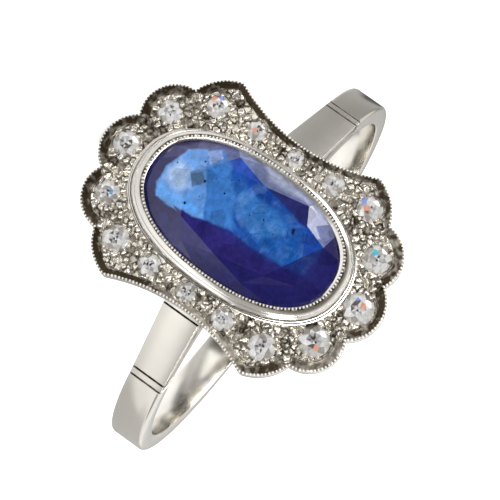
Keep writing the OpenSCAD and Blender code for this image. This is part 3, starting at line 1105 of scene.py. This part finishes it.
for level in range(len(STONE_STEPS)):
    for i in range(16):
        j = (i + 1) % 16
        top, low = 16 + 16 * level, 32 + 16 * level
        faces.append((top + i, low + i, low + j, top + j))
last = 16 + 16 * len(STONE_STEPS)
faces.append(tuple(range(last + 15, last - 1, -1)))

# %% [markdown]
# ### The sapphire's colour
# The stone's own colour is a deep navy, with silk that scatters light, and small
# dark crystals. The light that its back facets send up is painted on: straight-edged
# zones of brighter blue where light comes back through the heart, and pale zones of
# painted reflection. Part of the light is bent through the glass, and part scatters
# from the painted zones. A zone is a polygon: the least distance to its edges gives
# a mask, sharp or soft. The zones are laid one over the other, the heart's painted
# light first, then the pale ones.

# %% Colour zones
def srgb(r, g, b):
    """A colour given in 0 to 255, as the linear values that a shader takes."""
    def linear(v):
        v = v / 255
        return v / 12.92 if v <= 0.04045 else ((v + 0.055) / 1.055) ** 2.4
    return (linear(r), linear(g), linear(b), 1)


def zone_mask(tree, place, corners, soft):
    """1 inside a convex polygon with clockwise corners, fading over a soft edge."""
    least = None
    for (ax, ay), (bx, by) in zip(corners, corners[1:] + corners[:1]):
        length = math.hypot(bx - ax, by - ay)
        nx, ny = (by - ay) / length, -(bx - ax) / length
        reach = vector_math(tree, "DOT_PRODUCT", place, (nx, ny, 0))
        inside = math_node(tree, "SUBTRACT", reach, nx * ax + ny * ay)
        least = inside if least is None else math_node(tree, "MINIMUM", least, inside)
    return map_range(tree, least, -soft, soft, smooth=True)


def add_zones(tree, place, colour, zones):
    for corners, soft, tone in zones:
        colour = mix(tree, zone_mask(tree, place, corners, soft), colour, tone)
    return colour


LIT_BLUE_HEART = [
    (2.29, 1.88), (2.06, 0.91), (1.58, -1.21), (1.04, -3.31), (-0.28, -3.31), (-0.53, -2.39),
    (-0.64, -0.96), (-0.55, 0.11), (-0.38, 1.15), (0.24, 2.22), (1.21, 2.67),
]
LIT_BLUE_ZONES = [
    # corners across and along the stone, softness of the edge, colour of the painted light
    (LIT_BLUE_HEART, 0.5, srgb(30, 52, 134)),
    (LIT_BLUE_HEART, 0.09, srgb(28, 78, 162)),
    ([(0.94, 0.9), (1.56, 0.39), (1.36, -0.77), (0.9, -1.76), (0.27, -2.31), (-0.27, -1.7),
      (-0.19, -0.53), (0.2, 0.36)], 0.3, srgb(48, 108, 182)),
    ([(-0.12, -1.19), (0.71, -1.99), (0.25, -2.98), (-0.27, -3.11), (-0.55, -2.16)],
     0.12, srgb(20, 84, 168)),
    ([(1.62, 0.94), (1.79, 0.2), (1.59, -0.95), (1.22, -0.92), (1.2, 0.38)],
     0.12, srgb(22, 70, 162)),
]
# Pale zones of painted reflection.
PALE_REFLECTION_ZONES = [
    ([(2.39, 0.65), (2.74, -0.27), (2.36, -1.75), (2.16, -1.69), (1.99, -0.81), (1.92, 0.0)],
     0.15, srgb(160, 170, 200)),
    ([(1.43, 2.94), (1.88, 2.3), (1.64, 1.71), (0.58, 0.68), (-0.57, -0.0), (-0.73, 0.79),
      (-0.93, 1.56)], 0.1, srgb(58, 116, 192)),
    ([(-0.97, 3.41), (-0.57, 3.71), (0.13, 3.81), (1.13, 3.43), (1.56, 2.83), (0.22, 1.89),
      (-0.83, 1.28), (-0.99, 1.72), (-1.03, 2.7)], 0.06, srgb(94, 148, 218)),
    ([(1.47, 2.81), (1.84, 2.37), (1.57, 2.02), (1.12, 2.35)], 0.04, srgb(122, 150, 208)),
    ([(0.1, 3.64), (0.66, 3.44), (0.51, 2.92), (-0.1, 2.48), (-0.4, 2.76), (-0.33, 3.52)],
     0.22, srgb(160, 192, 236)),
    ([(0.38, 2.82), (0.76, 2.5), (0.49, 2.09), (-0.01, 2.43)], 0.03, srgb(80, 112, 152)),
    ([(-0.61, 3.62), (-0.59, 3.03), (-0.43, 1.72), (-0.78, 1.72), (-0.96, 2.6), (-0.95, 3.38)],
     0.1, srgb(88, 158, 234)),
]
INCLUSIONS = [
    # across, along, radius of each dark crystal
    (1.12, 2.57, 0.045), (0.5, 2.15, 0.055), (-0.7, 2.28, 0.055), (0.56, 1.21, 0.045),
    (1.33, 1.03, 0.03), (1.17, 1.25, 0.025), (0.4, -0.15, 0.03), (0.59, -0.77, 0.035),
    (0.94, -2.03, 0.07), (0.84, -2.07, 0.06), (0.3, -1.43, 0.025), (0.5, 3.48, 0.035),
    (0.83, 1.83, 0.03), (-0.15, 1.98, 0.025), (1.02, -0.15, 0.022),
]

# %% [markdown]
# Each crown facet gets one even painted tone: some are painted reflections of the
# room, the others painted light and dark from the stone's depth. A tone's fourth
# number says how much of the stone's own colour it hides.

# %% Painted reflections of the crown's facets
def toned(r, g, b, share=0.75):
    return (*srgb(r, g, b)[:3], share)


CLEAR = (0, 0, 0, 0)
CROWN_REFLECTIONS = [
    # star, kite, and the two rim triangles after it, from the right-hand side on
    toned(34, 72, 170, 0.9), toned(112, 122, 160, 0.85), toned(152, 162, 194), toned(92, 98, 140),
    toned(112, 146, 212, 0.6), toned(92, 96, 134), toned(74, 74, 112), toned(66, 66, 104),
    CLEAR, toned(38, 40, 86), toned(34, 36, 82), toned(32, 34, 80),
    toned(34, 36, 98), toned(34, 36, 86), toned(36, 38, 88), toned(36, 36, 90),
    toned(28, 28, 92), toned(30, 32, 88), toned(26, 28, 84), toned(26, 26, 90),
    toned(26, 24, 90), toned(32, 32, 98), toned(32, 32, 100), toned(32, 30, 98),
    toned(24, 66, 160), toned(34, 34, 98), toned(30, 28, 92), toned(36, 32, 96),
    toned(40, 44, 104, 0.9), toned(122, 132, 174, 0.8),
    toned(182, 190, 220, 0.85), toned(160, 168, 204, 0.85),
]

# %% [markdown]
# ### Looking into the stone
# Things inside a stone shift from facet to facet, because each facet bends the
# light its own way. So the place that the patterns read is moved against the
# facet's normal, and a noise makes it wander a little.

# %% Sapphire material
sapphire_glass, tree, shader = new_material(
    "sapphire", IOR=1.77, Roughness=0.0, Transmission_Weight=0.18, Specular_IOR_Level=0.32
)
facet_shift = -0.3
wander_reach = 0.18
place = upright(tree)
shift = vector_math(tree, "SCALE", upright(tree, "Normal"), scale=facet_shift)
drift = noise(tree, place, 1.6, 3.0, out="Color")
drift = vector_math(tree, "SUBTRACT", drift, (0.5, 0.5, 0.5))
wander = vector_math(tree, "SCALE", drift, scale=wander_reach)
inner = vector_math(tree, "ADD", vector_math(tree, "ADD", place, shift), wander)
depth = noise(tree, inner, 0.55, 2.0)
colour = mix(tree, depth, srgb(32, 32, 102), srgb(50, 42, 118))
# Painted light that the heart sends back, in brighter blue.
colour = add_zones(tree, inner, colour, LIT_BLUE_ZONES)

# %% [markdown]
# A pale veil and fine dark cracks lie in the blue heart. Over them come the
# facets' painted reflections and the pale zones of painted reflection.

# %% Veil, cracks and facets
in_blue = zone_mask(tree, inner, LIT_BLUE_HEART, 0.2)
veil = noise(tree, inner, 1.1, 5.0, distortion=1.2)
veil = math_node(tree, "MULTIPLY", map_range(tree, veil, 0.48, 0.7, 0.0, 0.28), in_blue)
colour = mix(tree, veil, colour, srgb(124, 168, 226))
crack = noise(tree, inner, 0.8, 2.0, distortion=1.0)
crack = math_node(tree, "ABSOLUTE", math_node(tree, "SUBTRACT", crack, 0.47))
crack = math_node(tree, "MULTIPLY", map_range(tree, crack, 0.0, 0.006, 0.55, 0.0), in_blue)
colour = mix(tree, crack, colour, srgb(16, 44, 120))
# The crown facets' painted reflections.
colour = mix(tree, painted(tree, "facet", "Alpha"), colour, painted(tree, "facet"))
# Pale zones of painted reflection.
colour = add_zones(tree, inner, colour, PALE_REFLECTION_ZONES)

# %% [markdown]
# Last come the uneven tones of growth cells and silk, and the dark crystals.

# %% Cells, silk and crystals
cells = add_node(tree, "ShaderNodeTexVoronoi", {"Vector": inner, "Scale": 1.5, "Randomness": 1.0})
cells = math_node(tree, "FRACT", math_node(tree, "MULTIPLY", cells.outputs["Color"], 7.3))
silk = map_range(tree, noise(tree, inner, 4.0, 6.0, roughness=0.65), 0.3, 0.7, 0.75, 1.3)
tone = math_node(tree, "MULTIPLY", map_range(tree, cells, 0.0, 1.0, 0.78, 1.2), silk)
colour = vector_math(tree, "SCALE", colour, scale=tone)
flat = vector_math(tree, "MULTIPLY", inner, (1, 1, 0))
for x, y, r in INCLUSIONS:
    gap = vector_math(tree, "DISTANCE", flat, (x, y, 0))
    spot = map_range(tree, gap, r * 1.4, r * 0.6, smooth=True)
    colour = mix(tree, spot, colour, srgb(22, 26, 60))
tree.links.new(colour, shader.inputs["Base Color"])
sapphire = piece("sapphire_stone", points, faces, sapphire_glass, "sapphire", smooth_angle=1)
facet_reflections = [CLEAR] + CROWN_REFLECTIONS
facet_reflections += [CLEAR] * (len(faces) - len(facet_reflections))
paint(sapphire, "facet", facet_reflections, "FLOAT_COLOR", "FACE")
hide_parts("sapphire")

# %% [markdown]
# ## The diamonds
# Each diamond was cut by hand, so each has its own turn and its own play of light.
# A diamond returns light from its back facets, and through the flat top they show
# as a star of light and dark shards. That play is finer than a small render can
# trace, so each face, and each shard of the flat top, is given its own painted tone,
# from bright light to dark shade, and a few get a painted flash of coloured fire. It
# is kept as a face attribute, which the material reads.

# %% One old-cut stone
diamond_crown = 0.19
diamond_pavilion = 0.42
table_share = 0.5
star_share = 0.72
girdle_edge = 0.04
heart_share = 0.23
lower_share = 0.34
lower_depth = 0.72
culet_share = 0.08


def ring_points(share, z, shift=0.0, count=8):
    angles = [2 * math.pi * (k + shift) / count for k in range(count)]
    return [(share * math.cos(a), share * math.sin(a), z) for a in angles]


def crown_height(share):
    """Height of a main facet at a share of the radius, where the table's edge is 1."""
    return (1 - share) / (1 - table_share)


def old_cut():
    """A crown of radius 1 and height 1: its points, its faces, and the kind of each face."""
    star_height = crown_height(star_share * math.cos(math.pi / 8))
    points = [(0, 0, 1)] + ring_points(heart_share, 1, 0.5) + ring_points(table_share, 1)
    points += ring_points(star_share, star_height, 0.5) + ring_points(1, 0, 0, 16)
    faces, kinds = [], []
    for k in range(8):
        after, before = (k + 1) % 8, (k + 7) % 8
        heart, table, star, rim = 1 + k, 9 + k, 17 + k, 25 + 2 * k
        faces += [
            (0, 1 + before, heart),
            (1 + before, table, heart),
            (heart, table, 9 + after),
            (table, star, 9 + after),
            (table, 17 + before, rim, star),
            (star, rim, rim + 1),
            (star, rim + 1, 25 + 2 * after),
        ]
        kinds += ["heart", "shard", "shard", "star", "main", "edge", "edge"]
    return points, faces, kinds


PALETTE = {
    "heart": [(172, 174, 178), (70, 68, 66), (215, 218, 222), (250, 251, 254)],
    "shard": [(205, 206, 208), (228, 230, 234), (252, 253, 255), (112, 108, 103), (180, 179, 177)],
    "star": [(232, 234, 238), (186, 184, 180), (252, 252, 254)],
    "main": [(222, 222, 222), (240, 242, 245), (176, 172, 166), (253, 253, 255)],
    "edge": [(200, 197, 190), (136, 126, 112), (246, 246, 246), (226, 224, 220)],
}
GIRDLE_TONE = (150, 148, 145)
PAVILION_TONE = (200, 202, 206)
FLASHES = [
    # across, along, reach and colour of each painted flash of fire
    (3.62, 4.1, 0.13, (255, 186, 158)),
    (3.9, 3.9, 0.1, (140, 160, 245)),
    (3.62, -3.78, 0.13, (255, 178, 150)),
    (3.76, -3.5, 0.11, (135, 158, 245)),
    (2.3, -5.1, 0.12, (95, 215, 242)),
    (0.22, -6.02, 0.13, (255, 178, 150)),
    (0.34, -5.76, 0.11, (135, 158, 245)),
    (-2.3, -5.5, 0.11, (255, 182, 152)),
    (3.62, 1.95, 0.1, (255, 186, 158)),
    (-2.02, 5.2, 0.1, (95, 178, 240)),
]

# %% Place the sixteen stones
random.seed(8)
shape, shape_faces, kinds = old_cut()
below = [ring_points(1, 0, 0, 16), ring_points(lower_share, 0, 0.5), ring_points(culet_share, 0)]
points, faces, tones = [], [], []


def place_stone(x, y, d, spin):
    """Add a stone's points at its place, and return the number of its first point."""
    first, r = len(points), d / 2
    depth = diamond_pavilion * d
    depths = (girdle_edge, girdle_edge + lower_depth * depth, girdle_edge + depth)
    placed = [(px * r, py * r, pz * diamond_crown * d) for px, py, pz in shape]
    for loop, down in zip(below, depths):
        placed += [(px * r, py * r, -down) for px, py, _ in loop]
    c, s = math.cos(spin), math.sin(spin)
    points.extend((x + px * c - py * s, y + px * s + py * c, diamond_z + z) for px, py, z in placed)
    return first


def facet_tone(face, kind):
    """A painted tone picked for the kind of face, from bright light to dark shade, or the painted
    flash of fire that falls on it.
    """
    middle = sum((Vector(points[i]) for i in face), Vector((0, 0, 0))) / len(face)
    tone = random.choice(PALETTE[kind])
    for x, y, reach, flash in FLASHES:
        if math.hypot(middle.x - x, middle.y - y) < reach:
            tone = flash
    return tone


for x, y, d in DIAMONDS:
    first = place_stone(x, y, d, random.uniform(0, math.pi / 4))
    for face, kind in zip(shape_faces, kinds):
        faces.append(tuple(first + i for i in face))
        tones.append(facet_tone(faces[-1], kind))
    rim, girdle_low, lower, culet = first + 25, first + 41, first + 57, first + 65
    for i in range(16):
        j = (i + 1) % 16
        faces.append((rim + i, girdle_low + i, girdle_low + j, rim + j))
    for k in range(8):
        after, before = (k + 1) % 8, (k + 7) % 8
        main = girdle_low + 2 * k
        faces += [
            (main, lower + k, main + 1),
            (main + 1, lower + k, girdle_low + 2 * after),
            (main, lower + before, culet + k, lower + k),
            (culet + k, culet + after, lower + k),
        ]
    faces.append(tuple(culet + k for k in range(7, -1, -1)))
    tones += [GIRDLE_TONE] * 16 + [PAVILION_TONE] * 33

# %% Diamond material
diamond_glass, tree, shader = new_material(
    "diamond", IOR=2.4, Roughness=0.0, Transmission_Weight=0.35
)
shade = map_range(tree, noise(tree, upright(tree), 9.0, 3.0), 0.3, 0.7, 0.95, 1.3)
tint = vector_math(tree, "SCALE", painted(tree, "tone"), scale=shade)
tree.links.new(tint, shader.inputs["Base Color"])
diamonds = piece("old_cut_diamonds", points, faces, diamond_glass, "diamond", smooth_angle=1)
paint(diamonds, "tone", [srgb(*tone) for tone in tones], "FLOAT_COLOR", "FACE")
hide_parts(*[name for name in nodes if name.startswith("diamond_")])

# %% [markdown]
# ## Floor and light
# The photograph is bright and almost without shadow, on a plain pale floor. A
# polished ring shows whatever it mirrors, so its look depends on what lies round
# it. The camera sees the floor as one plain white. Every other ray sees it darker,
# with a few soft bright patches, and that gives the metal its light and dark
# sides.

# %% Soft patches of the floor
def fade(tree, value, start, stop):
    """0 at start and 1 at stop, both in millimetres."""
    return map_range(tree, value, start * MM, stop * MM, smooth=True)


def patch(tree, parts, left, right, front, back, soft):
    """1 on a rectangle of the floor, in millimetres, with soft edges."""
    across = fade(tree, parts["X"], left - soft, left), fade(tree, parts["X"], right + soft, right)
    along = fade(tree, parts["Y"], front - soft, front), fade(tree, parts["Y"], back + soft, back)
    across = math_node(tree, "MULTIPLY", *across)
    return math_node(tree, "MULTIPLY", across, math_node(tree, "MULTIPLY", *along))


GLOWS = [
    # left, right, front, back, softness and strength, of a patch under the band's far
    # side, one inside the hoop and one beside the ring
    (-2, 5, 7, 13, 2, 0.9),
    (-14, 4, -3, 4, 2, 0.25),
    (28, 50, -8, 5, 6, 0.42),
]
hole_shade = (-15, -6, 8, 12, 2)

# %% Floor
floor_material, tree, shader = new_material(
    "floor", Roughness=0.6, Specular_IOR_Level=0.0, Emission_Color=(1, 1, 1, 1)
)
place = add_node(tree, "ShaderNodeTexCoord").outputs["Object"]
parts = add_node(tree, "ShaderNodeSeparateXYZ", {"Vector": place}).outputs
away = vector_math(tree, "LENGTH", place)
not_left = fade(tree, parts["X"], -30, 0)
far = map_range(tree, away, 22 * MM, 50 * MM, 0.06, 0.5, smooth=True)
far = math_node(tree, "MULTIPLY", far, fade(tree, parts["Y"], -45, -20))
glow = math_node(tree, "MULTIPLY", far, not_left)
for *corners, strength in GLOWS:
    spot = math_node(tree, "MULTIPLY", patch(tree, parts, *corners), strength)
    glow = math_node(tree, "MAXIMUM", glow, spot)
near = math_node(tree, "MULTIPLY_ADD", fade(tree, parts["Y"], 0, -8), 0.32, 0.14)
near = math_node(tree, "MULTIPLY_ADD", near, not_left, 0.22)
unshaded = math_node(tree, "MULTIPLY_ADD", patch(tree, parts, *hole_shade), -0.85, 1.0)
near = math_node(tree, "MULTIPLY", near, unshaded)
white_away = map_range(tree, away, 40 * MM, 300 * MM, 0.42, 1.0)
eye = add_node(tree, "ShaderNodeLightPath").outputs["Is Camera Ray"]
tree.links.new(mix(tree, eye, near, 0.92, "FLOAT"), shader.inputs["Base Color"])
tree.links.new(mix(tree, eye, glow, white_away, "FLOAT"), shader.inputs["Emission Strength"])
reach = 3.0
corners = [(-reach, -reach, 0), (reach, -reach, 0), (reach, reach, 0), (-reach, reach, 0)]
floor = add_object("floor", add_mesh("floor", corners, faces=[(0, 1, 2, 3)]))
floor.data.materials.append(floor_material)
print("floor patches:", len(GLOWS) + 1)

# %% [markdown]
# ### Soft lights
# A softbox at the left and one from behind give the long highlights, a small one
# fills the right side, and one behind the camera lights the face of the head. The
# big fill in front isn't mirrored, so it lifts the shadows and leaves the metal's
# dark sides dark.

# %% Lights
def softbox(name, place, aim, size, power, colour, mirrored):
    data = bpy.data.lights.new(name, "AREA")
    data.shape = "RECTANGLE"
    data.size, data.size_y = size
    data.energy = power
    data.color = colour
    light = add_object(name, data)
    turn = (Vector(aim) - Vector(place)).to_track_quat("-Z", "Y").to_matrix().to_4x4()
    light.matrix_world = Matrix.Translation(place) @ turn
    light.visible_camera = False
    light.visible_glossy = mirrored
    print(name, "at", place)


middle = (0, -0.002, 0.006)
left_place, left_aim = (-0.096, -0.008, 0.036), (0, -0.008, 0.036)
LIGHTS = [
    # name, place, aim, size, power, colour and whether the metal mirrors it
    ("left softbox", left_place, left_aim, (0.068, 0.052), 0.056, (1, 0.985, 0.97), True),
    ("back softbox", (-0.02, 0.15, 0.14), middle, (0.07, 0.07), 0.2, (1, 0.985, 0.96), True),
    ("right fill", (0.16, 0.03, 0.09), middle, (0.05, 0.05), 0.08, (1, 0.98, 0.95), True),
    ("camera softbox", (0.017, -0.3249, 0.137), middle, (0.2, 0.096), 0.42, (1, 0.99, 0.98), True),
    ("front fill", (0.02, -0.28, 0.21), middle, (0.46, 0.25), 0.7, (1, 0.99, 0.98), False),
]
for light in LIGHTS:
    softbox(*light)

# %% [markdown]
# ### The room
# The room is pale behind the ring and dark brown in front of it, which the flat
# metal mirrors. Three sectors change that: pale grey low at the left, darker at
# the right, and a small bright one low in front at the left, for the band. The
# camera itself sees plain white.

# %% World
SURROUND = [
    # colour from the front of the room at 0 to its back at 1
    (0.0, (0.05, 0.038, 0.028, 1)),
    (0.33, (0.05, 0.04, 0.03, 1)),
    (0.42, (0.09, 0.078, 0.065, 1)),
    (0.48, (0.35, 0.33, 0.3, 1)),
    (0.56, (0.65, 0.63, 0.6, 1)),
    (0.75, (0.9, 0.89, 0.86, 1)),
    (1.0, (1.0, 1.0, 0.98, 1)),
]
SECTORS = [
    # direction, where it starts and is full, colour
    ((-1.0, 0.6, -0.5), 0.42, 0.6, (0.72, 0.71, 0.67, 1)),
    ((1.0, 0.1, 0.1), 0.72, 0.92, (0.32, 0.31, 0.29, 1)),
    ((-0.865, -0.499, 0.052), 0.976, 0.988, (1.3, 1.3, 1.26, 1)),
]
world = bpy.data.worlds.new("studio")
bpy.context.scene.world = world
world.use_nodes = True
tree = world.node_tree
way = add_node(tree, "ShaderNodeTexCoord").outputs["Generated"]
parts = add_node(tree, "ShaderNodeSeparateXYZ", {"Vector": way}).outputs
backness = math_node(tree, "MULTIPLY_ADD", parts["Y"], 0.5, 0.5)
surround = add_node(tree, "ShaderNodeValToRGB", {"Fac": backness})
stops = surround.color_ramp.elements
stops[0].color, stops[1].color = SURROUND[0][1], SURROUND[-1][1]
for position, colour in SURROUND[1:-1]:
    stops.new(position).color = colour
colour = surround.outputs["Color"]
for direction, start, full, tone in SECTORS:
    toward = vector_math(tree, "DOT_PRODUCT", way, direction)
    colour = mix(tree, map_range(tree, toward, start, full, smooth=True), colour, tone)
eye = add_node(tree, "ShaderNodeLightPath").outputs["Is Camera Ray"]
tree.links.new(mix(tree, eye, colour, (1, 1, 1, 1)), tree.nodes["Background"].inputs["Color"])
bpy.context.scene.view_settings.view_transform = "Standard"
print("room sectors:", len(SECTORS))
